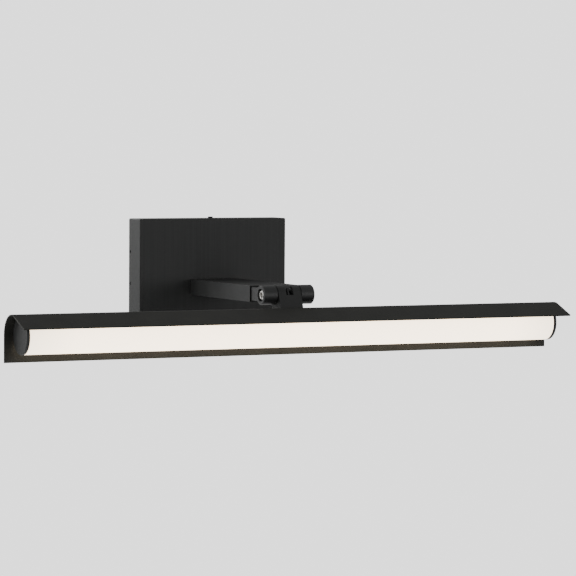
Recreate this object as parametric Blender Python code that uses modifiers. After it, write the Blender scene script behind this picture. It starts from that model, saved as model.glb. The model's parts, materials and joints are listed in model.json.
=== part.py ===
"""Wall-mounted picture light.

A rectangular canopy carries a flat tubular arm, and a friction hinge at the arm's end carries a
bent sheet-metal shade with a round LED tube.  Units are metres and +Z is up.  The wall is the
plane y = 0, the origin is the centre of the canopy's footprint on it, the light stands at
negative y, and its length runs along X.  The shade is in its level pose, with a vertical back.
"""

from math import acos, asin, cos, pi, radians, sin

import bmesh
import bpy
from mathutils import Matrix, Vector

MM = 0.001
GAP = 0.3 * MM  # clearance between pieces that touch
WELD = 0.00001  # merge distance
INSET = 0.05 * MM  # keeps the faces of joined pieces out of one plane

# Shade and light tube.  Angles about the tube's centre run from straight up towards the wall.
SHADE_LENGTH = 610 * MM
SHADE_SHEET = 1.4 * MM
SHADE_RADIUS = 20.7 * MM  # outer face of the curved back
TUBE_Y = -221.8 * MM
TUBE_Z = -53.0 * MM
BACK_WALL_DROP = 27.4 * MM  # flat back below the tube's centre
FLANGE_START = radians(-12)  # the curve runs on past its top, to the fold of the flange
FLANGE_REACH = 31.7 * MM  # from the tube's centre to the lip
FLANGE_DROP = 11.8 * MM  # from the shade's top to the lip
TUBE_RADIUS = 18.5 * MM
TUBE_WALL = 1.5 * MM
CAP_RADIUS = 18.65 * MM
CAP_THICKNESS = 3.3 * MM
CAP_INSET = 8.6 * MM  # from the shade's end to the cap's face

# LED channel: a D-shaped extrusion that backs the tube, facing forwards and down
CHANNEL_ANGLE = radians(45)
CHANNEL_RADIUS = 17.5 * MM
CHANNEL_WALL = 1.6 * MM
CHANNEL_FACE = 7.0 * MM  # from the tube's centre to the face that carries the LEDs
DIFFUSER_OPENING = radians(70)  # half the sector left open for the channel
BOARD_SIZE = Vector((570, 12, 1.2)) * MM
LED_SIZE = Vector((3.0, 3.0, 0.9)) * MM
LED_PITCH = 20 * MM
LED_COUNT = 28
CHANNEL_SCREW_STATIONS = (-270 * MM, -90 * MM, 90 * MM, 270 * MM)
BOARD_LEAD_X = 26 * MM
BOARD_LEAD_SIDE = 9 * MM  # beside the board, towards its lower edge

# Canopy and wall bracket
CANOPY_WIDTH = 171 * MM
CANOPY_HEIGHT = 104 * MM
CANOPY_DEPTH = 28.4 * MM
CANOPY_SHEET = 1.5 * MM
CANOPY_EDGE = 1.2 * MM
BRACKET_SHEET = 1.6 * MM
BRACKET_HEIGHT = 84 * MM
BRACKET_LIP = 9 * MM
SIDE_SCREW_Z = 16.7 * MM
SIDE_SCREW_Y = -3.5 * MM
TOP_SCREW_Y = -20 * MM
SLOT_X = 37 * MM  # centre of each wall-box slot
SLOT_LENGTH = 18 * MM
SLOT_WIDTH = 5 * MM
WIRE_HOLE_X = 14 * MM
WIRE_HOLE_Z = 24 * MM
WIRE_HOLE_RADIUS = 10 * MM

# Driver, terminals and wiring inside the canopy
DRIVER_X = -42 * MM
DRIVER_Z = 27 * MM
DRIVER_CASE = Vector((60, 17, 38)) * MM
DRIVER_BASE = Vector((76, 1.6, 38)) * MM
DRIVER_EAR_X = 34 * MM
DRIVER_WALL = 1.8 * MM
INPUT_HIGH = 12 * MM  # heights of the wire ways above the driver's middle
INPUT_LOW = 5 * MM
OUTPUT_HEIGHT = -12 * MM
TERMINAL_X = 56 * MM
TERMINAL_Z = 24 * MM
TERMINAL_SIZE = Vector((30, 13, 15)) * MM
TERMINAL_PITCH = 9 * MM
EARTH_X = 62 * MM
EARTH_Z = -12 * MM
WIRE_RADIUS = 1.1 * MM

# Arm and hinge
ARM_WIDTH = 53.5 * MM
ARM_HEIGHT = 16.5 * MM
ARM_WALL = 1.2 * MM
ARM_FRONT_Y = -171.2 * MM
ARM_SCREW_X = 16 * MM
ARM_BLOCK_LENGTH = 20 * MM
AXIS_Y = -198.9 * MM
AXIS_Z = -20.2 * MM
BARREL_RADIUS = 9.8 * MM
BARREL_HALF = 28.4 * MM
CHEEK_INNER = 13.5 * MM
KNUCKLE_HALF = 12.6 * MM
TONGUE_DEPTH = 28 * MM  # how far the yoke reaches into the arm
NECK_LEAN = radians(20)  # forwards from vertical
NECK_BACK = 9.0 * MM  # from the hinge axis to the back face of the neck
BUSH_RADIUS = 4.0 * MM
CHAMBER_RADIUS = 7.8 * MM
CHAMBER_HALF = 4.1 * MM
TILT_HEAD_RADIUS = 5.0 * MM
TILT_SHANK_RADIUS = 3.0 * MM
TILT_HEAD_HEIGHT = 6.0 * MM
TILT_HEAD_RECESS = 0.9 * MM  # from the left cheek's face to the screw's head
COUNTERBORE_RADIUS = 6.5 * MM
COUNTERBORE_DEPTH = 8.3 * MM
WINDOW_SIZE = Vector((8.0, 9.0, 8.8)) * MM
WINDOW_BASE = 0.2 * MM  # above the hinge axis
NECK_SCREW_X = 8 * MM
NECK_SCREW_ANGLE = radians(50)
LEAD_OFFSET = 5.6 * MM  # from the hinge axis to the lead's way down the neck
LEAD_RADIUS = 1.6 * MM

PARTS = "picture_light"
CUTTERS = "cutters"
FROM_YZ = Matrix(((0, 0, 1), (1, 0, 0), (0, 1, 0))).to_4x4()
FROM_XZ = Matrix(((1, 0, 0), (0, 0, -1), (0, 1, 0))).to_4x4()


# ---------------------------------------------------------------- scene and materials


def clear_scene():
    for item in list(bpy.data.objects):
        bpy.data.objects.remove(item, do_unlink=True)
    for name in (PARTS, CUTTERS):
        collection = bpy.data.collections.get(name) or bpy.data.collections.new(name)
        if collection.name not in bpy.context.scene.collection.children:
            bpy.context.scene.collection.children.link(collection)


def finish(name, colour, roughness, metallic=0.0, glow=0.0):
    """A Principled BSDF material, made once and shared by name."""
    material = bpy.data.materials.get(name)
    if material is None:
        material = bpy.data.materials.new(name)
        material.use_nodes = True
        shader = material.node_tree.nodes["Principled BSDF"]
        shader.inputs["Base Color"].default_value = (*colour, 1.0)
        shader.inputs["Roughness"].default_value = roughness
        shader.inputs["Metallic"].default_value = metallic
        shader.inputs["Emission Color"].default_value = (*colour, 1.0)
        shader.inputs["Emission Strength"].default_value = glow
    return material


def black_paint():
    return finish("black_powder_coat", (0.020, 0.021, 0.020), 0.55)


def zinc_steel():
    return finish("zinc_plated_steel", (0.60, 0.61, 0.62), 0.35, 1.0)


def bright_steel():
    return finish("stainless_steel", (0.72, 0.72, 0.70), 0.25, 1.0)


def black_steel():
    return finish("black_oxide_steel", (0.03, 0.03, 0.03), 0.40, 1.0)


def aluminium():
    return finish("aluminium", (0.70, 0.71, 0.72), 0.40, 1.0)


def nylon():
    return finish("black_nylon", (0.03, 0.03, 0.03), 0.60)


def rubber():
    return finish("black_rubber", (0.02, 0.02, 0.02), 0.80)


def white_plastic():
    return finish("white_plastic", (0.75, 0.75, 0.72), 0.50)


def board_laminate():
    return finish("white_board", (0.80, 0.80, 0.78), 0.50)


def green_board():
    return finish("green_board", (0.03, 0.20, 0.08), 0.50)


def brass():
    return finish("brass", (0.80, 0.58, 0.22), 0.35, 1.0)


def opal():
    return finish("opal_polycarbonate", (1.0, 0.97, 0.92), 0.40, 0.0, 1.0)


def insulation(name, colour):
    return finish("insulation_" + name, colour, 0.55)


# ---------------------------------------------------------------- building helpers


def add_object(name, data, material=None, place=None, cutter=False):
    """Link a new object; a cutter is drawn as a wire and never rendered."""
    item = bpy.data.objects.new(name, data)
    bpy.data.collections[CUTTERS if cutter else PARTS].objects.link(item)
    if material is not None:
        data.materials.append(material)
    if place is not None:
        item.matrix_world = place
    if cutter:
        item.hide_render = True
        item.display_type = "WIRE"
    return item


def mesh_of(builder):
    mesh = bpy.data.meshes.new("mesh")
    builder.to_mesh(mesh)
    builder.free()
    return mesh


def at(x, y, z):
    return Matrix.Translation((x, y, z))


def pointing(x, y, z, direction):
    """A place whose local Z looks along the direction."""
    turn = Vector(direction).to_track_quat("Z", "Y").to_matrix().to_4x4()
    return Matrix.Translation((x, y, z)) @ turn


def box(name, size, place, material=None, cutter=False):
    builder = bmesh.new()
    bmesh.ops.create_cube(builder, size=1.0, matrix=Matrix.Diagonal((*size, 1.0)))
    return add_object(name, mesh_of(builder), material, place, cutter)


def rod(name, radius, length, place, material=None, cutter=False, segments=24):
    """A cylinder centred on its place, along local Z."""
    builder = bmesh.new()
    bmesh.ops.create_cone(
        builder, cap_ends=True, segments=segments, radius1=radius, radius2=radius, depth=length
    )
    item = add_object(name, mesh_of(builder), material, place, cutter)
    item.data.shade_smooth()
    item.data.set_sharp_from_angle(angle=radians(35))
    return item


def turned(name, profile, place, material, segments=24, ring=False):
    """A solid of revolution about local Z.

    The profile is (radius, height) from the top down its outer side.  It starts and ends on the
    axis, or it is a closed ring.
    """
    builder = bmesh.new()
    points = [builder.verts.new((radius, 0, height)) for radius, height in profile]
    ends = points[1:] + points[:1] if ring else points[1:]
    for first, second in zip(points, ends):
        builder.edges.new((first, second))
    item = add_object(name, mesh_of(builder), material, place)
    screw = item.modifiers.new("Turn", "SCREW")
    screw.axis = "Z"
    screw.angle = 2 * pi
    screw.steps = segments
    screw.render_steps = segments
    screw.use_merge_vertices = True
    screw.merge_threshold = WELD
    screw.use_smooth_shade = False
    return item


def prism(name, outlines, low, high, material=None, along="X"):
    """A flat outline, with any holes after it, drawn out along X (from YZ) or Y (from XZ)."""
    curve = bpy.data.curves.new(name, "CURVE")
    curve.dimensions = "2D"
    curve.fill_mode = "BOTH"
    curve.extrude = (high - low) / 2
    for outline in outlines:
        spline = curve.splines.new("POLY")
        spline.points.add(len(outline) - 1)
        for point, (across, up) in zip(spline.points, outline):
            point.co = (across, up, 0, 1)
        spline.use_cyclic_u = True
    middle = (low + high) / 2
    place = at(middle, 0, 0) @ FROM_YZ if along == "X" else at(0, middle, 0) @ FROM_XZ
    guide = add_object(name + "_outline", curve, None, place)
    bpy.context.view_layer.update()
    evaluated = guide.evaluated_get(bpy.context.evaluated_depsgraph_get())
    mesh = bpy.data.meshes.new_from_object(evaluated)
    mesh.transform(guide.matrix_world)
    bpy.data.objects.remove(guide)
    builder = bmesh.new()
    builder.from_mesh(mesh)
    bmesh.ops.remove_doubles(builder, verts=builder.verts, dist=WELD / 10)
    bmesh.ops.recalc_face_normals(builder, faces=builder.faces)
    bpy.data.meshes.remove(mesh)
    return add_object(name, mesh_of(builder), material)


def bent_sheet(name, profile, length, thickness, material):
    """A sheet folded along a YZ profile of its outer face, running up the back and forwards."""
    builder = bmesh.new()
    points = [builder.verts.new((-length / 2, y, z)) for y, z in profile]
    edges = [builder.edges.new(pair) for pair in zip(points, points[1:])]
    drawn = bmesh.ops.extrude_edge_only(builder, edges=edges)["geom"]
    moved = [item for item in drawn if isinstance(item, bmesh.types.BMVert)]
    bmesh.ops.translate(builder, verts=moved, vec=(length, 0, 0))
    item = add_object(name, mesh_of(builder), material)
    shell = item.modifiers.new("Sheet", "SOLIDIFY")
    shell.thickness = thickness
    shell.offset = 1.0
    shell.use_even_offset = True
    return item


def boolean(item, other, operation):
    modifier = item.modifiers.new(operation.title(), "BOOLEAN")
    modifier.operation = operation
    modifier.object = other
    return item


def cut(item, *cutters):
    for cutter in cutters:
        boolean(item, cutter, "DIFFERENCE")
    return item


def join(item, *additions):
    for addition in additions:
        boolean(item, addition, "UNION")
    return item


def lead(name, route, radius, material):
    """An insulated wire along a smooth route: a filled tube on a poly spline."""
    points = smooth(route, 3)
    curve = bpy.data.curves.new(name, "CURVE")
    curve.dimensions = "3D"
    curve.bevel_depth = radius
    curve.bevel_resolution = 1
    curve.use_fill_caps = True
    spline = curve.splines.new("POLY")
    spline.points.add(len(points) - 1)
    for point, where in zip(spline.points, points):
        point.co = (*where, 1)
    return add_object(name, curve, material)


def smooth(route, steps):
    """Points along a Catmull-Rom curve through the route."""
    route = [Vector(point) for point in route]
    padded = [2 * route[0] - route[1], *route, 2 * route[-1] - route[-2]]
    points = []
    for a, b, c, d in zip(padded, padded[1:], padded[2:], padded[3:]):
        for step in range(steps):
            t = step / steps
            bend = (2 * a - 5 * b + 4 * c - d) * t**2 + (3 * b - 3 * c + d - a) * t**3
            points.append((2 * b + (c - a) * t + bend) / 2)
    return [*points, route[-1]]


def arc(centre, radius, start, end, steps):
    """YZ points on a round stretch; angles run from straight up towards the wall."""
    y, z = centre
    turns = [start + (end - start) * step / steps for step in range(steps + 1)]
    return [(y + radius * sin(turn), z + radius * cos(turn)) for turn in turns]


def tube_place(x, angle, radius):
    """A place on a ring about the tube's centre, with local Z outwards."""
    y = TUBE_Y + radius * sin(angle)
    z = TUBE_Z + radius * cos(angle)
    return at(x, y, z) @ Matrix.Rotation(-angle, 4, "X")


def hinge_place(x, y=0.0, z=0.0):
    """A place given from the hinge axis, with local Z along it."""
    return at(x, AXIS_Y + y, AXIS_Z + z) @ Matrix.Rotation(pi / 2, 4, "Y")


def socket(name, place, radius, depth):
    """A hexagonal socket cutter, from the place down its local Z."""
    return rod(name, radius, 2 * depth, place, cutter=True, segments=6)


def socket_screw(name, place, head, shank, material, hexagon, segments=16):
    """A screw with its head's underside at the place; head and shank are (radius, length)."""
    head_radius, head_height = head
    shank_radius, shank_length = shank
    rim = 0.15 * head_height
    profile = [
        (0, head_height),
        (head_radius - rim, head_height),
        (head_radius, head_height - rim),
        (head_radius, 0),
        (shank_radius, 0),
        (shank_radius, -shank_length),
        (0, -shank_length),
    ]
    item = turned(name, profile, place, material, segments)
    top = place @ at(0, 0, head_height)
    return cut(item, socket(name + "_socket", top, hexagon, 0.6 * head_height))


def grub_screw(name, place, radius, length, material):
    """A headless screw whose socket end is at the place, running down local Z."""
    item = rod(name, radius, length, place @ at(0, 0, -length / 2), material, segments=16)
    return cut(item, socket(name + "_socket", place, 0.55 * radius, 0.25 * length))


# ---------------------------------------------------------------- canopy and wall side


def wall_bracket():
    """A steel plate on the wall with folded lips for the cover's side and top screws."""
    half_width = CANOPY_WIDTH / 2 - CANOPY_SHEET - 0.4 * MM
    tab_top = CANOPY_HEIGHT / 2 - CANOPY_SHEET - 0.4 * MM
    half_height = BRACKET_HEIGHT / 2
    half_tab = 12 * MM
    plate_outline = [
        (-half_width, -half_height),
        (half_width, -half_height),
        (half_width, half_height),
        (half_tab, half_height),
        (half_tab, tab_top),
        (-half_tab, tab_top),
        (-half_tab, half_height),
        (-half_width, half_height),
    ]
    outlines = [plate_outline, *bracket_hole_outlines()]
    plate = prism("wall_bracket", outlines, -BRACKET_SHEET, 0, zinc_steel(), along="Y")
    fold = -BRACKET_SHEET / 2
    lip_depth = BRACKET_LIP + fold
    lip_size = (BRACKET_SHEET, lip_depth, 3 * SIDE_SCREW_Z)
    for side, label in ((-1, "left"), (1, "right")):
        x = side * (half_width - BRACKET_SHEET / 2 - INSET)
        lip = box("bracket_lip_" + label, lip_size, at(x, fold - lip_depth / 2, 0), cutter=True)
        join(plate, lip)
    tab_depth = 5.5 * MM - TOP_SCREW_Y + fold
    tab_size = (2 * (half_tab - INSET), tab_depth, BRACKET_SHEET)
    tab_z = tab_top - BRACKET_SHEET / 2 - INSET
    join(plate, box("bracket_tab", tab_size, at(0, fold - tab_depth / 2, tab_z), cutter=True))
    side_holes("bracket", plate, half_width, SIDE_SCREW_Y)
    tab_hole = at(0, TOP_SCREW_Y, tab_top)
    cut(plate, rod("bracket_tab_hole", 1.8 * MM, 6 * MM, tab_hole, cutter=True, segments=16))
    return plate


def bracket_hole_outlines():
    """The supply opening, the two wall-box slots, and the driver's and earth screw's holes."""
    radius = SLOT_WIDTH / 2
    straight = SLOT_LENGTH - SLOT_WIDTH
    return [
        slot_outline(WIRE_HOLE_X, WIRE_HOLE_Z, 0, WIRE_HOLE_RADIUS, 16),
        slot_outline(-SLOT_X, 0, straight, radius, 6),
        slot_outline(SLOT_X, 0, straight, radius, 6),
        slot_outline(DRIVER_X - DRIVER_EAR_X, DRIVER_Z, 0, 1.8 * MM, 6),
        slot_outline(DRIVER_X + DRIVER_EAR_X, DRIVER_Z, 0, 1.8 * MM, 6),
        slot_outline(EARTH_X, EARTH_Z, 0, 2.3 * MM, 6),
    ]


def slot_outline(x, z, straight, radius, steps):
    """A level slot with round ends as XZ points; a circle where it has no straight part."""
    right = arc((x + straight / 2, z), radius, 0, pi, steps)
    left = arc((x - straight / 2, z), radius, pi, 2 * pi, steps)
    if straight == 0:
        return right[:-1] + left[:-1]
    return right + left


def side_holes(owner, item, x, y):
    """Two screw holes in each side, through a wall at plus and minus x."""
    for side, label in ((-1, "left"), (1, "right")):
        for height, level in ((SIDE_SCREW_Z, "upper"), (-SIDE_SCREW_Z, "lower")):
            place = pointing(side * x, y, height, (1, 0, 0))
            name = owner + "_side_hole_" + label + "_" + level
            cut(item, rod(name, 1.75 * MM, 6 * MM, place, cutter=True, segments=16))


def canopy_cover():
    """The folded cover: a box open to the wall, with small rounded edges."""
    builder = bmesh.new()
    size = (CANOPY_WIDTH, CANOPY_DEPTH, CANOPY_HEIGHT)
    bmesh.ops.create_cube(builder, size=1.0, matrix=Matrix.Diagonal((*size, 1.0)))
    open_faces = [face for face in builder.faces if face.normal.y > 0.9]
    bmesh.ops.delete(builder, geom=open_faces, context="FACES")
    folds = [edge for edge in builder.edges if len(edge.link_faces) == 2]
    bmesh.ops.bevel(builder, geom=folds, offset=CANOPY_EDGE, segments=2, affect="EDGES", profile=0.5)
    place = at(0, -CANOPY_DEPTH / 2, 0)
    item = add_object("canopy_cover", mesh_of(builder), black_paint(), place)
    shell = item.modifiers.new("Sheet", "SOLIDIFY")
    shell.thickness = CANOPY_SHEET
    shell.offset = -1.0
    shell.use_even_offset = True
    top = at(0, TOP_SCREW_Y, CANOPY_HEIGHT / 2)
    cut(item, rod("cover_top_hole", 1.8 * MM, 8 * MM, top, cutter=True, segments=16))
    side_holes("cover", item, CANOPY_WIDTH / 2, SIDE_SCREW_Y)
    for name, x, radius in arm_holes("cover"):
        place = pointing(x, -CANOPY_DEPTH, AXIS_Z, (0, 1, 0))
        cut(item, rod(name, radius, 8 * MM, place, cutter=True))
    return item


def arm_holes(owner):
    """The lead's hole and the two screw holes that the cover, plate and block share."""
    return (
        (owner + "_lead_hole", 0.0, 3.5 * MM),
        (owner + "_screw_hole_left", -ARM_SCREW_X, 2.3 * MM),
        (owner + "_screw_hole_right", ARM_SCREW_X, 2.3 * MM),
    )


def canopy_screws():
    """A button screw through the top, and four grub screws recessed in the sides."""
    place = at(0, TOP_SCREW_Y, CANOPY_HEIGHT / 2 + GAP)
    socket_screw(
        "canopy_top_screw",
        place,
        (2.6 * MM, 1.6 * MM),
        (1.5 * MM, 7 * MM),
        black_steel(),
        1.15 * MM,
    )
    recess = 0.5 * MM
    for side, label in ((-1, "left"), (1, "right")):
        for height, level in ((SIDE_SCREW_Z, "upper"), (-SIDE_SCREW_Z, "lower")):
            outer = side * (CANOPY_WIDTH / 2 - recess)
            place = pointing(outer, SIDE_SCREW_Y, height, (side, 0, 0))
            name = "canopy_side_screw_" + label + "_" + level
            grub_screw(name, place, 1.4 * MM, 4 * MM, black_steel())


# ---------------------------------------------------------------- driver and wiring



def driver():
    """The LED driver: base plate, cup-shaped case and the circuit board inside it."""
    base_y = -BRACKET_SHEET - GAP - DRIVER_BASE.y / 2
    base = box("driver_base", DRIVER_BASE, at(DRIVER_X, base_y, DRIVER_Z), white_plastic())
    inner_y = base_y - DRIVER_BASE.y / 2 - GAP
    case_place = at(DRIVER_X, inner_y - DRIVER_CASE.y / 2, DRIVER_Z)
    case = box("driver_case", DRIVER_CASE, case_place, white_plastic())
    hollow = Vector((DRIVER_CASE.x, DRIVER_CASE.y, DRIVER_CASE.z)) - Vector((2, 0, 2)) * DRIVER_WALL
    cut(case, box("driver_hollow", hollow, case_place @ at(0, DRIVER_WALL, 0), cutter=True))
    ways = ((INPUT_HIGH, "neutral"), (INPUT_LOW, "live"), (OUTPUT_HEIGHT, "output"))
    for height, label in ways:
        end = pointing(DRIVER_X + DRIVER_CASE.x / 2, inner_y - 8 * MM, DRIVER_Z + height, (1, 0, 0))
        cut(case, rod("driver_hole_" + label, 2.2 * MM, 8 * MM, end, cutter=True, segments=16))
    driver_board(inner_y)
    for side, label in ((-1, "left"), (1, "right")):
        x = DRIVER_X + side * DRIVER_EAR_X
        hole = pointing(x, base_y, DRIVER_Z, (0, 1, 0))
        cut(base, rod("driver_ear_hole_" + label, 1.8 * MM, 6 * MM, hole, cutter=True, segments=16))
        head = pointing(x, base_y - DRIVER_BASE.y / 2 - GAP, DRIVER_Z, (0, -1, 0))
        shank_length = DRIVER_BASE.y + BRACKET_SHEET + GAP
        socket_screw(
            "driver_screw_" + label,
            head,
            (2.7 * MM, 1.8 * MM),
            (1.5 * MM, shank_length),
            zinc_steel(),
            1.1 * MM,
        )


def driver_board(inner_y):
    """The driver's circuit board with its transformer and two capacitors."""
    board = Vector((54, 1.6, 32)) * MM
    y = inner_y - 3 * MM
    item = box("driver_board", board, at(DRIVER_X, y, DRIVER_Z), green_board())
    face = y - board.y / 2
    core = Vector((16, 9, 14)) * MM
    place = at(DRIVER_X - 6 * MM, face - core.y / 2 + GAP, DRIVER_Z + 4 * MM)
    join(item, box("driver_transformer", core, place, cutter=True))
    for x, radius in ((-20 * MM, 4.5 * MM), (11 * MM, 3.5 * MM)):
        height = 8 * MM
        place = pointing(DRIVER_X + x, face - height / 2 + GAP, DRIVER_Z - 6 * MM, (0, 1, 0))
        name = "driver_capacitor_" + ("left" if x < 0 else "right")
        join(item, rod(name, radius, height, place, cutter=True, segments=16))


def terminal_block():
    y = -BRACKET_SHEET - GAP - TERMINAL_SIZE.y / 2
    item = box("terminal_block", TERMINAL_SIZE, at(TERMINAL_X, y, TERMINAL_Z), white_plastic())
    for pole in (-1, 0, 1):
        x = TERMINAL_X + pole * TERMINAL_PITCH
        letter = "ABC"[pole + 1]
        middle = at(x, y, TERMINAL_Z)
        face = pointing(x, y - TERMINAL_SIZE.y / 2, TERMINAL_Z, (0, 1, 0))
        name = "terminal_way_" + letter
        cut(item, rod(name, 1.5 * MM, 20 * MM, middle, cutter=True, segments=12))
        name = "terminal_well_" + letter
        cut(item, rod(name, 2.0 * MM, 6 * MM, face, cutter=True, segments=12))
    return y


def earth_screw():
    head = pointing(EARTH_X, -BRACKET_SHEET - 1.6 * MM, EARTH_Z, (0, -1, 0))
    shank_length = 3 * MM
    screw_head = (4.0 * MM, 2.4 * MM)
    screw_shank = (2.0 * MM, shank_length)
    socket_screw("earth_screw", head, screw_head, screw_shank, brass(), 1.5 * MM)
    washer_y = -BRACKET_SHEET - GAP
    place = pointing(EARTH_X, washer_y, EARTH_Z, (0, -1, 0))
    profile = [(2.3 * MM, 1.0 * MM), (4.2 * MM, 1.0 * MM), (4.2 * MM, 0), (2.3 * MM, 0)]
    turned("earth_lug_washer", profile, place, brass(), 20, ring=True)


def wiring(terminal_y):
    """Supply wires inside the canopy, and the lead that runs through the arm to the hinge."""
    top = TERMINAL_Z + TERMINAL_SIZE.z / 2 + GAP
    bottom = TERMINAL_Z - TERMINAL_SIZE.z / 2 - GAP
    driver_end = DRIVER_X + DRIVER_CASE.x / 2 + GAP
    driver_y = -BRACKET_SHEET - DRIVER_BASE.y - 2 * GAP - 8 * MM
    brown = (0.20, 0.07, 0.02)
    blue = (0.03, 0.10, 0.45)
    supplies = ((-1, "live", brown, INPUT_LOW, 6 * MM), (0, "neutral", blue, INPUT_HIGH, 11 * MM))
    for pole, name, colour, height, rise in supplies:
        x = TERMINAL_X + pole * TERMINAL_PITCH
        z = DRIVER_Z + height
        route = [
            (x, terminal_y, top),
            (x, terminal_y, top + 0.45 * rise),
            (x - 9 * MM, terminal_y - 1 * MM, top + rise),
            (x - 28 * MM, terminal_y - 1 * MM, (top + rise + z) / 2),
            (driver_end + 10 * MM, driver_y, z),
            (driver_end, driver_y, z),
        ]
        lead("lead_" + name, route, WIRE_RADIUS, insulation(name, colour))
    x = TERMINAL_X + TERMINAL_PITCH
    lug_y = -BRACKET_SHEET - 2 * MM
    route = [
        (x, terminal_y, bottom),
        (x, terminal_y, bottom - 4 * MM),
        (x + 3 * MM, terminal_y + 1 * MM, bottom - 12 * MM),
        (x + 1 * MM, lug_y - 1 * MM, EARTH_Z + 12 * MM),
        (EARTH_X + 1 * MM, lug_y, EARTH_Z + 6 * MM),
    ]
    lead("lead_earth", route, WIRE_RADIUS, insulation("earth", (0.05, 0.30, 0.06)))
    output_z = DRIVER_Z + OUTPUT_HEIGHT
    route = [
        (driver_end, driver_y, output_z),
        (driver_end + 4 * MM, driver_y, output_z - 0.5 * MM),
        (0, driver_y + 1 * MM, output_z - 10 * MM),
        (3 * MM, driver_y + 2 * MM, AXIS_Z + 12 * MM),
        (0.5 * MM, driver_y - 2 * MM, AXIS_Z + 2 * MM),
        (0, -CANOPY_DEPTH + 6 * MM, AXIS_Z),
        (0, -CANOPY_DEPTH - 6 * MM, AXIS_Z),
        (0, ARM_FRONT_Y / 2, AXIS_Z - 2 * MM),
        (0, ARM_FRONT_Y + TONGUE_DEPTH + 10 * MM, AXIS_Z),
        (0, ARM_FRONT_Y + 12 * MM, AXIS_Z),
        (0, AXIS_Y + 18 * MM, AXIS_Z),
    ]
    lead("arm_lead", route, LEAD_RADIUS, insulation("arm", (0.02, 0.02, 0.02)))


# ---------------------------------------------------------------- arm


def arm():
    """The flat rectangular tube, the block in its wall end and what clamps it to the cover."""
    rear = -CANOPY_DEPTH - GAP
    length = rear - ARM_FRONT_Y
    middle = at(0, (rear + ARM_FRONT_Y) / 2, AXIS_Z)
    tube = box("arm_tube", (ARM_WIDTH, length, ARM_HEIGHT), middle, black_paint())
    bore = (ARM_WIDTH - 2 * ARM_WALL, length + 10 * MM, ARM_HEIGHT - 2 * ARM_WALL)
    cut(tube, box("arm_bore", bore, middle, cutter=True))

    fit = (bore[0] - 2 * GAP, ARM_BLOCK_LENGTH, bore[2] - 2 * GAP)
    block_y = rear - ARM_BLOCK_LENGTH / 2
    block = box("arm_end_block", fit, at(0, block_y, AXIS_Z), aluminium())
    plate_size = Vector((46, 3, 22)) * MM
    plate_y = -CANOPY_DEPTH + CANOPY_SHEET + GAP + plate_size.y / 2
    plate = box("arm_backing_plate", plate_size, at(0, plate_y, AXIS_Z), zinc_steel())
    for owner, item, y in (("block", block, block_y), ("plate", plate, plate_y)):
        for name, x, radius in arm_holes(owner):
            place = pointing(x, y, AXIS_Z, (0, 1, 0))
            cut(item, rod(name, radius, ARM_BLOCK_LENGTH + 6 * MM, place, cutter=True))

    head_y = plate_y + plate_size.y / 2 + GAP
    for side, label in ((-1, "left"), (1, "right")):
        head = pointing(side * ARM_SCREW_X, head_y, AXIS_Z, (0, 1, 0))
        socket_screw(
            "arm_screw_" + label, head, (3.6 * MM, 3.4 * MM), (2 * MM, 18 * MM), zinc_steel(), 1.7 * MM
        )
        set_screw_pair(tube, block, "arm_block_screw_" + label, side * 8 * MM, block_y - 3 * MM)


def set_screw_pair(tube, inner, name, x, y):
    """A grub screw that comes up through the arm's underside into the piece inside it."""
    under = AXIS_Z - ARM_HEIGHT / 2
    hole = at(x, y, under)
    cut(tube, rod(name + "_tube_hole", 2.0 * MM, 4 * MM, hole, cutter=True, segments=16))
    cut(inner, rod(name + "_inner_hole", 2.0 * MM, 13 * MM, hole, cutter=True, segments=16))
    grub_screw(name, pointing(x, y, under + 0.4 * MM, (0, 0, -1)), 1.6 * MM, 5 * MM, black_steel())


# ---------------------------------------------------------------- hinge


def hinge_yoke(tube):
    """The tongue that plugs into the arm, with the two round cheeks of the hinge."""
    tongue_width = ARM_WIDTH - 2 * ARM_WALL - 2 * GAP
    tongue_height = ARM_HEIGHT - 2 * ARM_WALL - 2 * GAP
    rear = ARM_FRONT_Y + TONGUE_DEPTH
    size = (tongue_width, rear - AXIS_Y, tongue_height)
    yoke = box("hinge_yoke", size, at(0, (rear + AXIS_Y) / 2, AXIS_Z), black_paint())
    rounds = barrel_cutter("yoke_barrel", -BARREL_HALF, BARREL_HALF, BARREL_RADIUS, 0.6 * MM)
    join(yoke, rounds)
    slot_size = (2 * CHEEK_INNER, ARM_FRONT_Y - AXIS_Y + 2 * BARREL_RADIUS, 4 * BARREL_RADIUS)
    slot_y = ARM_FRONT_Y - slot_size[1] / 2
    cut(yoke, box("yoke_slot", slot_size, at(0, slot_y, AXIS_Z), cutter=True))
    lead_way = pointing(0, rear, AXIS_Z, (0, 1, 0))
    cut(yoke, rod("yoke_lead_hole", 3 * MM, 4 * TONGUE_DEPTH, lead_way, cutter=True))
    bore_end = BARREL_HALF - 3 * MM
    bore_length = bore_end + BARREL_HALF + 5 * MM
    bore = hinge_place(bore_end - bore_length / 2)
    cut(yoke, rod("yoke_bore", TILT_SHANK_RADIUS + GAP, bore_length, bore, cutter=True))
    counterbore = hinge_place(-BARREL_HALF)
    length = 2 * COUNTERBORE_DEPTH
    cut(yoke, rod("yoke_counterbore", COUNTERBORE_RADIUS, length, counterbore, cutter=True, segments=36))
    for side, label in ((-1, "left"), (1, "right")):
        set_screw_pair(tube, yoke, "yoke_screw_" + label, side * 17 * MM, ARM_FRONT_Y + 14 * MM)
    return yoke


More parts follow.
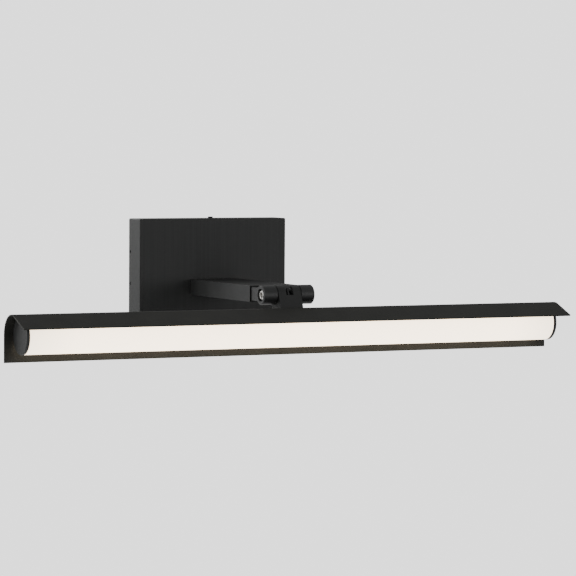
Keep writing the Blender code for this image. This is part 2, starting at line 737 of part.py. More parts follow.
def barrel_cutter(name, low, high, radius, chamfer):
    """A round bar along the hinge axis with chamfered ends."""
    half = (high - low) / 2
    profile = [
        (0, half),
        (radius - chamfer, half),
        (radius, half - chamfer),
        (radius, chamfer - half),
        (radius - chamfer, -half),
        (0, -half),
    ]
    item = turned(name, profile, hinge_place((low + high) / 2), None, 40)
    bpy.data.collections[PARTS].objects.unlink(item)
    bpy.data.collections[CUTTERS].objects.link(item)
    item.hide_render = True
    item.display_type = "WIRE"
    return item


def hinge_fasteners():
    """The tilt screw with its spring washer, and the two friction washers."""
    head_base = -BARREL_HALF + TILT_HEAD_RECESS + TILT_HEAD_HEIGHT
    head = pointing(head_base, AXIS_Y, AXIS_Z, (-1, 0, 0))
    shank_length = BARREL_HALF - 4 * MM - head_base
    socket_screw(
        "tilt_screw",
        head,
        (TILT_HEAD_RADIUS, TILT_HEAD_HEIGHT),
        (TILT_SHANK_RADIUS, shank_length),
        bright_steel(),
        2.9 * MM,
        24,
    )
    inner = TILT_SHANK_RADIUS + GAP
    thin = 0.5 * MM
    spring = [(inner, thin), (5.2 * MM, thin), (5.2 * MM, -thin), (inner, -thin)]
    place = hinge_place(head_base + GAP + thin)
    turned("spring_washer", spring, place, black_steel(), 24, ring=True)
    half = (CHEEK_INNER - KNUCKLE_HALF) / 2 - GAP
    outer = BARREL_RADIUS - 0.3 * MM
    washer = [(inner, half), (outer, half), (outer, -half), (inner, -half)]
    for side, label in ((-1, "left"), (1, "right")):
        place = hinge_place(side * (CHEEK_INNER + KNUCKLE_HALF) / 2)
        turned("friction_washer_" + label, washer, place, nylon(), 36, ring=True)


# ---------------------------------------------------------------- knuckle


def neck_point(front, down):
    """A YZ point from the hinge axis, towards the neck's front face and down the neck."""
    y = AXIS_Y - front * cos(NECK_LEAN) - down * sin(NECK_LEAN)
    z = AXIS_Z + front * sin(NECK_LEAN) - down * cos(NECK_LEAN)
    return y, z


def tube_from_neck():
    """The tube's centre, measured as neck_point measures."""
    y = TUBE_Y - AXIS_Y
    z = TUBE_Z - AXIS_Z
    front = -y * cos(NECK_LEAN) + z * sin(NECK_LEAN)
    down = -y * sin(NECK_LEAN) - z * cos(NECK_LEAN)
    return front, down


def knuckle_outline():
    """Round barrel on top, straight neck, and a saddle that fits the shade's curved back."""
    centre_front, centre_down = tube_from_neck()
    seat = SHADE_RADIUS + GAP
    wrap = pi + acos(NECK_BACK / BARREL_RADIUS)
    steps = 24
    outline = []
    for step in range(steps + 1):
        turn = wrap * step / steps
        outline.append(neck_point(BARREL_RADIUS * cos(turn), -BARREL_RADIUS * sin(turn)))
    start = asin((-NECK_BACK - centre_front) / seat)
    end = asin((BARREL_RADIUS - centre_front) / seat)
    steps = 12
    for step in range(steps + 1):
        turn = start + (end - start) * step / steps
        outline.append(neck_point(centre_front + seat * sin(turn), centre_down - seat * cos(turn)))
    return outline


def knuckle():
    """The tilting block: barrel between the cheeks, hollow for the lead, neck on the shade."""
    item = prism("knuckle", [knuckle_outline()], -KNUCKLE_HALF, KNUCKLE_HALF, black_paint())
    width = 2 * CHAMBER_HALF
    axle = hinge_place(0)
    cut(item, rod("knuckle_bore", BUSH_RADIUS + GAP, 4 * KNUCKLE_HALF, axle, cutter=True))
    cut(item, rod("knuckle_chamber", CHAMBER_RADIUS, width, axle, cutter=True, segments=32))
    window_z = AXIS_Z + WINDOW_BASE + WINDOW_SIZE.z / 2
    window_place = at(0, AXIS_Y - 4 * MM - WINDOW_SIZE.y / 2, window_z)
    window = box("knuckle_window", WINDOW_SIZE, window_place, cutter=True)
    top_mouth = box(
        "knuckle_top_mouth",
        (width, 14 * MM, 14 * MM),
        at(0, AXIS_Y + 5 * MM, AXIS_Z + 7 * MM),
        cutter=True,
    )
    back_mouth = box(
        "knuckle_back_mouth",
        (width, 14 * MM, 8 * MM),
        at(0, AXIS_Y + 7 * MM, AXIS_Z - 3 * MM),
        cutter=True,
    )
    cut(item, window, top_mouth, back_mouth)
    y, z = neck_point(LEAD_OFFSET, 15 * MM)
    way = at(0, y, z) @ Matrix.Rotation(-NECK_LEAN, 4, "X")
    cut(item, rod("knuckle_lead_way", 2.0 * MM, 30 * MM, way, cutter=True, segments=16))
    for side, label in ((-1, "left"), (1, "right")):
        place = tube_place(side * NECK_SCREW_X, NECK_SCREW_ANGLE, SHADE_RADIUS)
        cut(item, rod("knuckle_screw_hole_" + label, 1.8 * MM, 20 * MM, place, cutter=True, segments=16))
    bush = [
        (TILT_SHANK_RADIUS + GAP, KNUCKLE_HALF),
        (BUSH_RADIUS, KNUCKLE_HALF),
        (BUSH_RADIUS, -KNUCKLE_HALF),
        (TILT_SHANK_RADIUS + GAP, -KNUCKLE_HALF),
    ]
    pivot_bush = turned("pivot_bush", bush, axle, black_steel(), 24, ring=True)
    return [item, pivot_bush]


def neck_screws():
    """Countersunk screws from inside the shade into the neck."""
    screws = []
    for side, label in ((-1, "left"), (1, "right")):
        head_face = SHADE_RADIUS - SHADE_SHEET - 0.1 * MM
        place = tube_place(side * NECK_SCREW_X, NECK_SCREW_ANGLE, head_face)
        profile = [(0, 8 * MM), (1.5 * MM, 8 * MM), (1.5 * MM, 1.3 * MM), (2.6 * MM, 0), (0, 0)]
        screws.append(turned("neck_screw_" + label, profile, place, black_steel(), 16))
    return screws


# ---------------------------------------------------------------- shade and light tube


def shade_profile():
    """The sheet's outer face, from the bottom of the back wall over the curve to the lip."""
    bottom = (TUBE_Y + SHADE_RADIUS, TUBE_Z - BACK_WALL_DROP)
    curve = arc((TUBE_Y, TUBE_Z), SHADE_RADIUS, pi / 2, FLANGE_START, 18)
    lip = (TUBE_Y - FLANGE_REACH, TUBE_Z + SHADE_RADIUS - FLANGE_DROP)
    return [bottom, *curve, lip]


def shade():
    item = bent_sheet("shade", shade_profile(), SHADE_LENGTH, SHADE_SHEET, black_paint())
    for side, label in ((-1, "left"), (1, "right")):
        place = tube_place(side * NECK_SCREW_X, NECK_SCREW_ANGLE, SHADE_RADIUS)
        cut(item, rod("shade_neck_hole_" + label, 2.9 * MM, 8 * MM, place, cutter=True, segments=16))
    place = tube_place(0, lead_angle(), SHADE_RADIUS)
    cut(item, rod("shade_lead_hole", 3.0 * MM, 8 * MM, place, cutter=True, segments=20))
    for number, x in enumerate(CHANNEL_SCREW_STATIONS, 1):
        place = tube_place(x, CHANNEL_ANGLE, SHADE_RADIUS)
        name = "shade_channel_hole_%d" % number
        cut(item, rod(name, 2.3 * MM, 8 * MM, place, cutter=True, segments=16))
    return item


def lead_angle():
    """Where the lead's way down the neck meets the shade's curve."""
    return NECK_LEAN + asin((tube_from_neck()[0] - LEAD_OFFSET) / SHADE_RADIUS)


def shade_grommet():
    base = CHANNEL_RADIUS + GAP
    flange = 0.7 * MM
    sleeve = SHADE_RADIUS - base
    bore = LEAD_RADIUS + GAP
    profile = [
        (bore, sleeve),
        (2.7 * MM, sleeve),
        (2.7 * MM, flange),
        (3.9 * MM, flange),
        (3.9 * MM, 0),
        (bore, 0),
    ]
    place = tube_place(0, lead_angle(), base)
    return turned("shade_grommet", profile, place, rubber(), 20, ring=True)


def tube_ends():
    """X from the lamp's middle to the inner face of an end cap."""
    return SHADE_LENGTH / 2 - CAP_INSET - CAP_THICKNESS


def led_channel():
    """A hollow D-shaped extrusion; its flat face carries the LED board."""
    half = tube_ends() - GAP
    centre = (TUBE_Y, TUBE_Z)
    spread = acos(CHANNEL_FACE / CHANNEL_RADIUS)
    outer = arc(centre, CHANNEL_RADIUS, CHANNEL_ANGLE - spread, CHANNEL_ANGLE + spread, 17)
    radius = CHANNEL_RADIUS - CHANNEL_WALL
    spread = acos((CHANNEL_FACE + CHANNEL_WALL) / radius)
    inner = arc(centre, radius, CHANNEL_ANGLE - spread, CHANNEL_ANGLE + spread, 13)
    item = prism("led_channel", [outer, inner], -half, half, aluminium())
    for number, x in enumerate(CHANNEL_SCREW_STATIONS, 1):
        place = tube_place(x, CHANNEL_ANGLE, CHANNEL_RADIUS)
        cut(item, rod("channel_hole_%d" % number, 2.3 * MM, 6 * MM, place, cutter=True, segments=16))
    way = tube_place(0, lead_angle(), CHANNEL_RADIUS)
    cut(item, rod("channel_lead_hole", 2.2 * MM, 6 * MM, way, cutter=True, segments=16))
    face = tube_place(BOARD_LEAD_X, CHANNEL_ANGLE, CHANNEL_FACE) @ at(0, BOARD_LEAD_SIDE, 0)
    cut(item, rod("channel_face_hole", 2.2 * MM, 6 * MM, face, cutter=True, segments=16))
    return item




def led_board():
    """The long board with its row of LEDs, and the connector in the middle of it."""
    middle = CHANNEL_FACE - GAP - BOARD_SIZE.z / 2
    item = box("led_board", BOARD_SIZE, tube_place(0, CHANNEL_ANGLE, middle), board_laminate())
    builder = bmesh.new()
    for number in range(LED_COUNT):
        x = (number - (LED_COUNT - 1) / 2) * LED_PITCH
        shape = at(x, 0, 0) @ Matrix.Diagonal((*LED_SIZE, 1.0))
        bmesh.ops.create_cube(builder, size=1.0, matrix=shape)
    proud = middle - BOARD_SIZE.z / 2 - LED_SIZE.z / 2 + GAP
    leds = add_object("led_row", mesh_of(builder), None, tube_place(0, CHANNEL_ANGLE, proud), True)
    join(item, leds)
    size = Vector((9, 7, 3)) * MM
    face = middle - BOARD_SIZE.z / 2 - GAP - size.z / 2
    connector = box(
        "board_connector", size, tube_place(0, CHANNEL_ANGLE, face), white_plastic()
    )
    return [item, connector]


def diffuser():
    """The opal tube, open where the channel closes it."""
    half = tube_ends() - GAP
    start = CHANNEL_ANGLE + DIFFUSER_OPENING
    end = CHANNEL_ANGLE + 2 * pi - DIFFUSER_OPENING
    centre = (TUBE_Y, TUBE_Z)
    outer = arc(centre, TUBE_RADIUS, start, end, 40)
    inner = arc(centre, TUBE_RADIUS - TUBE_WALL, end, start, 40)
    return prism("diffuser", [outer + inner], -half, half, opal())


def end_caps():
    """Discs that close the tube, each with a plug that fits the channel."""
    caps = []
    plug = Vector((7, 14, 3.5)) * MM
    for side, label in ((-1, "left"), (1, "right")):
        x = side * (tube_ends() + CAP_THICKNESS / 2)
        place = at(x, TUBE_Y, TUBE_Z) @ Matrix.Rotation(pi / 2, 4, "Y")
        half = CAP_THICKNESS / 2
        chamfer = 0.35 * MM
        profile = [
            (0, half),
            (CAP_RADIUS - chamfer, half),
            (CAP_RADIUS, half - chamfer),
            (CAP_RADIUS, chamfer - half),
            (CAP_RADIUS - chamfer, -half),
            (0, -half),
        ]
        cap = turned("end_cap_" + label, profile, place, black_paint(), 40)
        inside = side * (tube_ends() - plug.x / 2 + GAP)
        middle = CHANNEL_FACE + CHANNEL_WALL + plug.z / 2 + 0.5 * MM
        plug_place = tube_place(inside, CHANNEL_ANGLE, middle)
        join(cap, box("cap_plug_" + label, plug, plug_place, cutter=True))
        caps.append(cap)
    return caps


def channel_screws():
    """Button screws through the shade's back into the channel."""
    screws = []
    for number, x in enumerate(CHANNEL_SCREW_STATIONS, 1):
        place = tube_place(x, CHANNEL_ANGLE, SHADE_RADIUS + GAP)
        head = (3.8 * MM, 2.2 * MM)
        shank = (2.0 * MM, 7 * MM)
        name = "channel_screw_%d" % number
        screws.append(socket_screw(name, place, head, shank, black_steel(), 1.45 * MM))
    return screws


def head_lead():
    """The lead from the hinge's hollow, down the neck and into the channel to the board."""

    def ring(x, angle, radius, side=0.0):
        return (tube_place(x, angle, radius) @ at(0, side, 0)).translation

    y_start, z_start = neck_point(LEAD_OFFSET + 0.2 * MM, -1 * MM)
    y_neck, z_neck = neck_point(LEAD_OFFSET, 8 * MM)
    y_exit, z_exit = neck_point(LEAD_OFFSET, 16 * MM)
    hollow = CHANNEL_RADIUS - CHANNEL_WALL - 3.2 * MM
    route = [
        (0, y_start, z_start),
        (0, y_neck, z_neck),
        (0, y_exit, z_exit),
        ring(0, lead_angle(), SHADE_RADIUS - 1.5 * MM),
        ring(0, lead_angle(), hollow + 1.0 * MM),
        ring(7 * MM, lead_angle() + 0.1, hollow),
        ring(BOARD_LEAD_X - 8 * MM, CHANNEL_ANGLE, hollow - 0.5 * MM, BOARD_LEAD_SIDE * 0.6),
        ring(BOARD_LEAD_X, CHANNEL_ANGLE, CHANNEL_FACE + 3 * MM, BOARD_LEAD_SIDE),
        ring(BOARD_LEAD_X, CHANNEL_ANGLE, CHANNEL_FACE - 2 * MM, BOARD_LEAD_SIDE),
    ]
    return lead("head_lead", route, LEAD_RADIUS * 0.9, insulation("head", (0.02, 0.02, 0.02)))


def hang_on_pivot(pieces):
    """Parent the tilting pieces to an empty on the hinge axis."""
    pivot = bpy.data.objects.new("head_pivot", None)
    pivot.location = (0, AXIS_Y, AXIS_Z)
    bpy.data.collections[PARTS].objects.link(pivot)
    bpy.context.view_layer.update()
    for piece in pieces:
        piece.parent = pivot
        piece.matrix_parent_inverse = pivot.matrix_world.inverted()


def build():
    clear_scene()
    wall_bracket()
    canopy_cover()
    canopy_screws()
    driver()
    terminal_y = terminal_block()
    earth_screw()
    wiring(terminal_y)
    arm()
    hinge_yoke(bpy.data.objects["arm_tube"])
    hinge_fasteners()
    pieces = [*knuckle(), *neck_screws(), shade(), shade_grommet(), led_channel()]
    pieces += [*led_board(), diffuser(), *end_caps(), *channel_screws(), head_lead()]
    hang_on_pivot(pieces)


build()
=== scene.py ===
"""Looks for a wall-mounted picture light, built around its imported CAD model.

Units are metres.  The wall is the plane y = 0, the origin is the centre of the canopy's footprint,
+X runs along the light and +Z is up.  Each CAD node is replaced by a finer piece of the same shape and
place: smooth curves, rounded sheet edges and a procedural finish.
"""

import json
from math import cos, pi, radians, sin

import bmesh
import bpy
from mathutils import Matrix, Vector


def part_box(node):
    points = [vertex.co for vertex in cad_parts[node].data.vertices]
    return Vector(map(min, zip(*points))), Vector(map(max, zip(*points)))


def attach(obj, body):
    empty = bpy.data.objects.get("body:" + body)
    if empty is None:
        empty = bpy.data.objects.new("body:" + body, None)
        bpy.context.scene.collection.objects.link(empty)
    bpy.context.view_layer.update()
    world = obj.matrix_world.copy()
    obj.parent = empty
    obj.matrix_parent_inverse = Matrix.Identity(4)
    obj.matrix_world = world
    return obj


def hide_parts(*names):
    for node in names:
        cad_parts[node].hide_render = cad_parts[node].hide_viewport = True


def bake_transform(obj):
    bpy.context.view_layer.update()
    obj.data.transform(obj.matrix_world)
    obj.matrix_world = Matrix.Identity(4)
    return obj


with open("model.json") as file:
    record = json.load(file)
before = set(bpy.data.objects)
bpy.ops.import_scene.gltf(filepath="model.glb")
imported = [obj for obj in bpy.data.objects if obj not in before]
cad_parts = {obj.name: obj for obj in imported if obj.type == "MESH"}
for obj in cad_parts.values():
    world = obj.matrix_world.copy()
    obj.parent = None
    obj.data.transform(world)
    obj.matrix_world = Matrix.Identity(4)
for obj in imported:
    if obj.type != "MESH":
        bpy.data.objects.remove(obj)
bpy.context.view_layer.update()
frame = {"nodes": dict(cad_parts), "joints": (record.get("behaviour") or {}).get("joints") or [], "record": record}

MM = 0.001

# Camera: a long lens, in front of the light and to its left, looking slightly down
CAMERA_PLACE = Vector((-1.33198, -2.84112, 0.14164))
CAMERA_YAW = radians(26.80)
CAMERA_PITCH = radians(-3.00)
CAMERA_ROLL = radians(0.367)
CAMERA_LENS = 183.26
CAMERA_SENSOR = 36.0
CAMERA_REACH = 200.0

# Studio
FLOOR_Z = -0.62
FLOOR_RADIUS = 1.70
FLOOR_CORNERS = 96
SKY_LIGHT = 0.50  # what lights the object
SKY_SEEN = 2.0  # what the camera sees behind it
LIGHTS_AIM = Vector((0, -0.1, 0))
SOFTBOXES = {  # place, width and height, and power in watts
    "key_left": ((-2.0, -0.1, 0.35), (1.8, 1.5), 24.0),
    "back_left": ((-1.3, 1.7, 0.9), (1.6, 1.2), 38.0),
    "front_fill": ((1.2, -2.2, 0.18), (1.9, 0.6), 11.0),
}

# Colours of the black coats, each as the dark and the light end of its tone changes
BLACK = ((0.0115, 0.0120, 0.0118), (0.0165, 0.0172, 0.0168))
# The hinge's coat is lighter than the other blacks: a painted highlight on the hinge barrel
HINGE_BLACK_PAINTED_HIGHLIGHT = ((0.0150, 0.0155, 0.0155), (0.0215, 0.0220, 0.0222))
SHADE_BLACK = ((0.0142, 0.0144, 0.0123), (0.0192, 0.0194, 0.0166))

# Textures: noise scales per metre, and how far the marks stand out
TONE = 45.0  # slow tone changes of a coat
TONE_STREAKS = (900, 900, 9)  # the same, drawn out up and down
BRUSH_MARKS = (2600, 2600, 55)
BRUSH_DEPTH = 0.03 * MM
ORANGE_PEEL = 1400.0
PEEL_DEPTH = 0.04 * MM
MACHINE_MARKS = 900.0
MACHINE_DEPTH = 0.02 * MM
ALONG_THE_LIGHT = (0.02, 1, 1)  # draws the marks of an extrusion out
MOULD_GRAIN = 1100.0
MOULD_DEPTH = 0.03 * MM
OPAL_HAZE = 260.0

# The tube's glow
GLOW_MIDDLE = (1.0, 0.80, 0.57)
GLOW_END = (0.66, 0.54, 0.40)
GLOW_FADE = (0.245, 0.300)  # from the light's middle, in metres
GLOW_STRENGTH = 4.6

# Refined pieces
WELD_WITHIN = 0.01 * MM
FLAT_WITHIN = radians(0.6)
CORNER_FROM = radians(32)
EDGE_STEPS = 3
USUAL_EDGE = 0.15 * MM
EDGES = {
    "canopy_cover": 0.35 * MM,
    "arm_tube": 0.45 * MM,
    "hinge_yoke": 0.45 * MM,
    "knuckle": 0.30 * MM,
    "shade": 0.22 * MM,
    "end_cap_left": 0.22 * MM,
    "end_cap_right": 0.22 * MM,
    "diffuser": 0.20 * MM,
}
SPECIAL_FINISHES = {
    "canopy_cover": "brushed_black",
    # the yoke's lighter black is a painted highlight
    "hinge_yoke": "hinge_black_painted_highlight",
    "knuckle": "knuckle_black",
    "shade": "shade_black",
}

# The lead's bridge across the hinge.  Its turns are about the hinge's axis, up from the wall's side.
LEAD_RADIUS = 1.44 * MM
LEAD_OVERLAP = 1.0 * MM  # inside the arm's own lead
LEAD_BEND = 1.0 * MM  # from the arm's lead to where the bridge starts to turn with the head
LEAD_STRAIGHT = 3.0 * MM  # how far it is drawn on along the arm
LEAD_ARCH = 1.6 * MM  # added rise half way to the bush, clear of the knuckle
LEAD_RISE_STEPS = 8
BUSH_APPROACH = 2.5 * MM
BUSH_RIDE = 5.9 * MM  # from the hinge's axis to the lead's middle
BUSH_FIRST = radians(72)
BUSH_LAST = radians(150)
BUSH_STEPS = 16


# ---------------------------------------------------------------- object helpers


def add_object(name, data):
    """A new object in the scene."""
    item = bpy.data.objects.new(name, data)
    bpy.context.scene.collection.objects.link(item)
    return item


def mesh_from(name, builder):
    """A new mesh with the builder's faces; the builder is freed."""
    mesh = bpy.data.meshes.new(name)
    builder.to_mesh(mesh)
    builder.free()
    return mesh


def welded(mesh):
    """A builder with the mesh's faces and its coincident points joined."""
    builder = bmesh.new()
    builder.from_mesh(mesh)
    bmesh.ops.remove_doubles(builder, verts=builder.verts[:], dist=WELD_WITHIN)
    return builder


# ---------------------------------------------------------------- node helpers


def new_material(name):
    """A material with a Principled BSDF, its tree and that shader."""
    material = bpy.data.materials.new(name)
    material.use_nodes = True
    tree = material.node_tree
    return material, tree, tree.nodes["Principled BSDF"]


def place_texture(tree, scale):
    """Object coordinates, stretched by scale."""
    coordinates = tree.nodes.new("ShaderNodeTexCoord")
    mapping = tree.nodes.new("ShaderNodeMapping")
    mapping.inputs["Scale"].default_value = scale
    tree.links.new(coordinates.outputs["Object"], mapping.inputs["Vector"])
    return mapping.outputs["Vector"]


def noise(tree, scale, detail, stretch=(1, 1, 1)):
    """Noise over the object, from 0 to 1."""
    texture = tree.nodes.new("ShaderNodeTexNoise")
    texture.inputs["Scale"].default_value = scale
    texture.inputs["Detail"].default_value = detail
    tree.links.new(place_texture(tree, stretch), texture.inputs["Vector"])
    return texture.outputs["Fac"]


def ramp(tree, value, low, high, bounds=(0.3, 0.7)):
    """A colour, from low to high, as the value goes between the bounds."""
    node = tree.nodes.new("ShaderNodeValToRGB")
    node.color_ramp.elements[0].position = bounds[0]
    node.color_ramp.elements[0].color = (*low, 1)
    node.color_ramp.elements[1].position = bounds[1]
    node.color_ramp.elements[1].color = (*high, 1)
    tree.links.new(value, node.inputs["Fac"])
    return node.outputs["Color"]


def spread(tree, value, low, high):
    """A number, from low to high, as the value goes from 0 to 1."""
    node = tree.nodes.new("ShaderNodeMapRange")
    node.inputs["To Min"].default_value = low
    node.inputs["To Max"].default_value = high
    tree.links.new(value, node.inputs["Value"])
    return node.outputs["Result"]


def bump(tree, height, distance, strength, under=None):
    """A normal raised by the height, on top of the normal under it if there is one."""
    node = tree.nodes.new("ShaderNodeBump")
    node.inputs["Distance"].default_value = distance
    node.inputs["Strength"].default_value = strength
    tree.links.new(height, node.inputs["Height"])
    if under is not None:
        tree.links.new(under, node.inputs["Normal"])
    return node.outputs["Normal"]


def from_middle(tree):
    """Distance along the light from its middle."""
    coordinates = tree.nodes.new("ShaderNodeTexCoord")
    split = tree.nodes.new("ShaderNodeSeparateXYZ")
    size = tree.nodes.new("ShaderNodeMath")
    size.operation = "ABSOLUTE"
    tree.links.new(coordinates.outputs["Object"], split.inputs["Vector"])
    tree.links.new(split.outputs["X"], size.inputs[0])
    return size.outputs["Value"]


# ---------------------------------------------------------------- finishes


def powder_coat(name, tones, rough=(0.44, 0.58), specular=0.30, streaks=0.0):
    """Matt black coat: fine orange peel and slight tone changes.  Streaks add faint upright brushing."""
    material, tree, shader = new_material(name)
    if streaks:
        tone = noise(tree, 1.0, detail=4.0, stretch=TONE_STREAKS)
    else:
        tone = noise(tree, TONE, detail=4.0)
    tree.links.new(ramp(tree, tone, *tones), shader.inputs["Base Color"])
    peel = noise(tree, ORANGE_PEEL, detail=2.0)
    tree.links.new(spread(tree, peel, *rough), shader.inputs["Roughness"])
    normal = bump(tree, peel, PEEL_DEPTH, strength=0.55)
    if streaks:
        brushed = noise(tree, 1.0, detail=3.0, stretch=BRUSH_MARKS)
        normal = bump(tree, brushed, BRUSH_DEPTH, strength=streaks, under=normal)
    tree.links.new(normal, shader.inputs["Normal"])
    shader.inputs["Specular IOR Level"].default_value = specular
    return material


def metal(name, low, high, rough, stretch=(1, 1, 1)):
    """Bare metal with fine machining marks."""
    material, tree, shader = new_material(name)
    marks = noise(tree, MACHINE_MARKS, detail=3.0, stretch=stretch)
    tree.links.new(ramp(tree, marks, low, high), shader.inputs["Base Color"])
    tree.links.new(spread(tree, marks, *rough), shader.inputs["Roughness"])
    tree.links.new(bump(tree, marks, MACHINE_DEPTH, strength=0.4), shader.inputs["Normal"])
    shader.inputs["Metallic"].default_value = 1.0
    return material


def moulded(name, low, high, rough, specular=0.4):
    """Moulded plastic or rubber with a fine spark-eroded texture."""
    material, tree, shader = new_material(name)
    grain = noise(tree, MOULD_GRAIN, detail=2.0)
    tree.links.new(ramp(tree, grain, low, high), shader.inputs["Base Color"])
    tree.links.new(spread(tree, grain, *rough), shader.inputs["Roughness"])
    tree.links.new(bump(tree, grain, MOULD_DEPTH, strength=0.4), shader.inputs["Normal"])
    shader.inputs["Specular IOR Level"].default_value = specular
    return material


def opal():
    """Opal polycarbonate, lit from inside; the glow falls off towards both ends."""
    material, tree, shader = new_material("opal_lit")
    haze = noise(tree, OPAL_HAZE, detail=2.0)
    tint = ramp(tree, haze, (0.94, 0.93, 0.90), (0.98, 0.97, 0.94))
    tree.links.new(tint, shader.inputs["Base Color"])
    tree.links.new(spread(tree, haze, 0.32, 0.42), shader.inputs["Roughness"])
    glow = ramp(tree, from_middle(tree), GLOW_MIDDLE, GLOW_END, GLOW_FADE)
    tree.links.new(glow, shader.inputs["Emission Color"])
    shader.inputs["Emission Strength"].default_value = GLOW_STRENGTH
    return material


def coats():
    """The black coats of the sheet, the arm and the hinge."""
    return {
        # The hinge yoke's lighter black is a painted highlight on its barrel
        "hinge_black_painted_highlight": powder_coat("black_coat_painted_highlight", HINGE_BLACK_PAINTED_HIGHLIGHT, (0.40, 0.52), specular=0.38),
        "knuckle_black": powder_coat("black_coat_knuckle", BLACK, (0.42, 0.54), specular=0.34),
        "shade_black": powder_coat("black_powder_coat_shade", SHADE_BLACK, (0.50, 0.64), specular=0.20),
        "black_paint": powder_coat("black_powder_coat", BLACK),
        "brushed_black": powder_coat("black_powder_coat_brushed", BLACK, streaks=0.5),
    }


def metals():
    """Screws, bracket, carrier and terminals."""
    return {
        "zinc_steel": metal("zinc_plate", (0.50, 0.51, 0.53), (0.66, 0.67, 0.68), (0.28, 0.42)),
        "bright_steel": metal("bright_stainless", (0.50, 0.49, 0.47), (0.68, 0.67, 0.65), (0.20, 0.32)),
        "black_steel": metal("black_oxide", (0.020, 0.020, 0.022), (0.045, 0.045, 0.048), (0.34, 0.46)),
        "aluminium": metal(
            "mill_aluminium", (0.60, 0.61, 0.62), (0.74, 0.75, 0.76), (0.32, 0.46), ALONG_THE_LIGHT
        ),
        "brass": metal("plain_brass", (0.62, 0.43, 0.15), (0.82, 0.60, 0.25), (0.24, 0.36)),
    }


def plastics():
    """Mouldings, boards and rubber."""
    return {
        "white_plastic": moulded("white_plastic", (0.66, 0.66, 0.63), (0.76, 0.76, 0.73), (0.42, 0.55)),
        "green_board": moulded("solder_mask_green", (0.015, 0.13, 0.05), (0.03, 0.20, 0.08), (0.30, 0.42)),
        "white_board": moulded("solder_mask_white", (0.72, 0.72, 0.70), (0.82, 0.82, 0.80), (0.35, 0.45)),
        "nylon": moulded("black_nylon", (0.012, 0.012, 0.012), (0.022, 0.022, 0.022), (0.48, 0.60), 0.25),
        "rubber": moulded("black_rubber", (0.010, 0.010, 0.010), (0.018, 0.018, 0.018), (0.65, 0.80), 0.2),
    }


def insulations():
    """Sheaths of the leads."""
    wire = (0.42, 0.52)
    sheath = (0.50, 0.62)
    return {
        "insulation_live": moulded("brown_insulation", (0.12, 0.040, 0.012), (0.18, 0.065, 0.02), wire),
        "insulation_neutral": moulded("blue_insulation", (0.02, 0.07, 0.32), (0.03, 0.10, 0.45), wire),
        "insulation_earth": moulded("green_insulation", (0.03, 0.20, 0.04), (0.05, 0.30, 0.06), wire),
        "insulation_black": moulded("black_sheath", (0.012, 0.012, 0.012), (0.020, 0.020, 0.020), sheath),
    }


FINISHES = {**coats(), **metals(), **plastics(), "opal": opal(), **insulations()}


# ---------------------------------------------------------------- refining CAD nodes


def clean_copy(node):
    """The node's mesh with its points welded and its flat areas made single faces."""
    builder = welded(frame["nodes"][node].data)
    bmesh.ops.dissolve_limit(
        builder, angle_limit=FLAT_WITHIN, verts=builder.verts[:], edges=builder.edges[:]
    )
    return mesh_from(node + "_finished", builder)


def refine(node, body, slot):
    """Stand a smooth, edge-rounded copy in for a CAD node."""
    mesh = clean_copy(node)
    piece = add_object(node + "_finished", mesh)
    mesh.materials.append(FINISHES[SPECIAL_FINISHES.get(node, slot)])
    mesh.shade_smooth()
    rounding = piece.modifiers.new("rounded_edges", "BEVEL")
    rounding.width = EDGES.get(node, USUAL_EDGE)
    rounding.segments = EDGE_STEPS
    rounding.limit_method = "ANGLE"
    rounding.angle_limit = CORNER_FROM
    rounding.use_clamp_overlap = True
    flatten = piece.modifiers.new("flat_faces_stay_flat", "WEIGHTED_NORMAL")
    flatten.weight = 100
    flatten.keep_sharp = True
    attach(piece, body)
    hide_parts(node)


def refine_all():
    """Every CAD node gets its finished copy, in the material slot that the record names."""
    slots = {entry["node"]: entry["material_slot"] for entry in frame["record"]["subparts"]}
    bodies = frame["record"]["behaviour"]["bodies"]
    for body, members in bodies.items():
        for node in members:
            refine(node, body, slots[node])


# ---------------------------------------------------------------- lead across the hinge


def tube(name, points, radius):
    """A round tube with closed ends along the points."""
    curve = bpy.data.curves.new(name, "CURVE")
    curve.dimensions = "3D"
    curve.bevel_depth = radius
    curve.bevel_resolution = 4
    curve.use_fill_caps = True
    spline = curve.splines.new("POLY")
    spline.points.add(len(points) - 1)
    for point, where in zip(spline.points, points):
        point.co = (*where, 1)
    guide = add_object(name + "_guide", curve)
    depsgraph = bpy.context.evaluated_depsgraph_get()
    mesh = bpy.data.meshes.new_from_object(guide.evaluated_get(depsgraph))
    bpy.data.objects.remove(guide)
    builder = welded(mesh)
    builder.to_mesh(mesh)
    builder.free()
    mesh.shade_smooth()
    return add_object(name, mesh)


def hinge_lead():
    """The lead's bridge from the arm, over the hinge's bush, to the head's own lead."""
    axis = Vector(frame["joints"][0]["pos_m"])
    start = Vector((0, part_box("arm_lead")[0].y, axis.z))
    bend = start - Vector((0, LEAD_BEND, 0))
    over = []
    for step in range(BUSH_STEPS + 1):
        turn = BUSH_FIRST + (BUSH_LAST - BUSH_FIRST) * step / BUSH_STEPS
        over.append(axis + BUSH_RIDE * Vector((0, cos(turn), sin(turn))))
    entry = over[0] - BUSH_APPROACH * (over[1] - over[0]).normalized()
    route = [start + Vector((0, LEAD_OVERLAP, 0)), start]
    for step in range(1, LEAD_RISE_STEPS):
        share = step / LEAD_RISE_STEPS
        straight = start - Vector((0, LEAD_STRAIGHT * share, 0))
        rising = bend.lerp(entry, share)
        arch = Vector((0, 0, LEAD_ARCH * sin(pi * share)))
        route.append(straight.lerp(rising, share) + arch)
    piece = tube("hinge_lead", route + over, LEAD_RADIUS)
    piece.data.materials.append(FINISHES["insulation_black"])
    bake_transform(piece)


# ---------------------------------------------------------------- camera and studio


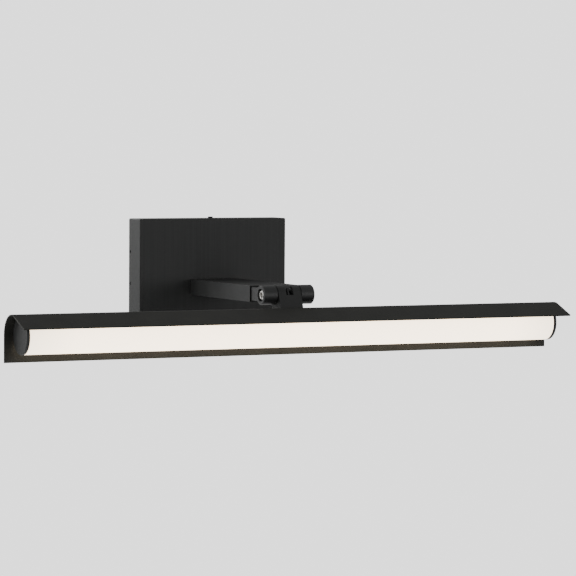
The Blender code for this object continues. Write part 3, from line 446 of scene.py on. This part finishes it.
def camera():
    """The camera, aimed by its yaw, pitch and roll."""
    forward = Vector((
        sin(CAMERA_YAW) * cos(CAMERA_PITCH),
        cos(CAMERA_YAW) * cos(CAMERA_PITCH),
        sin(CAMERA_PITCH),
    ))
    level = Vector((cos(CAMERA_YAW), -sin(CAMERA_YAW), 0))
    up = level.cross(forward)
    right = cos(CAMERA_ROLL) * level + sin(CAMERA_ROLL) * up
    top = cos(CAMERA_ROLL) * up - sin(CAMERA_ROLL) * level
    data = bpy.data.cameras.new("camera")
    data.lens = CAMERA_LENS
    data.sensor_width = CAMERA_SENSOR
    data.clip_end = CAMERA_REACH
    item = add_object("camera", data)
    place = Matrix((right, top, -forward)).transposed().to_4x4()
    place.translation = CAMERA_PLACE
    item.matrix_world = place
    bpy.context.scene.camera = item


def softbox(name, place, size, power):
    """A rectangular light aimed at the picture light."""
    data = bpy.data.lights.new(name, "AREA")
    data.shape = "RECTANGLE"
    data.size = size[0]
    data.size_y = size[1]
    data.energy = power
    item = add_object(name, data)
    aim = (LIGHTS_AIM - Vector(place)).to_track_quat("-Z", "Y").to_matrix().to_4x4()
    item.matrix_world = Matrix.Translation(place) @ aim


def sky():
    """White surroundings, brighter behind the object than the light they give."""
    world = bpy.data.worlds.new("studio")
    world.use_nodes = True
    tree = world.node_tree
    background = tree.nodes["Background"]
    background.inputs["Color"].default_value = (1.0, 1.0, 1.0, 1.0)
    path = tree.nodes.new("ShaderNodeLightPath")
    strength = spread(tree, path.outputs["Is Camera Ray"], SKY_LIGHT, SKY_SEEN)
    tree.links.new(strength, background.inputs["Strength"])
    bpy.context.scene.world = world


def floor():
    """A pale disc below the light."""
    builder = bmesh.new()
    bmesh.ops.create_circle(builder, cap_ends=True, segments=FLOOR_CORNERS, radius=FLOOR_RADIUS)
    mesh = mesh_from("floor", builder)
    disc = add_object("floor", mesh)
    disc.location.z = FLOOR_Z
    material, _, shader = new_material("pale_floor")
    shader.inputs["Base Color"].default_value = (0.95, 0.95, 0.95, 1.0)
    shader.inputs["Roughness"].default_value = 0.9
    mesh.materials.append(material)


def studio():
    """Sky, floor and softboxes."""
    sky()
    floor()
    for name, (place, size, power) in SOFTBOXES.items():
        softbox(name, place, size, power)


camera()
studio()
refine_all()
hinge_lead()
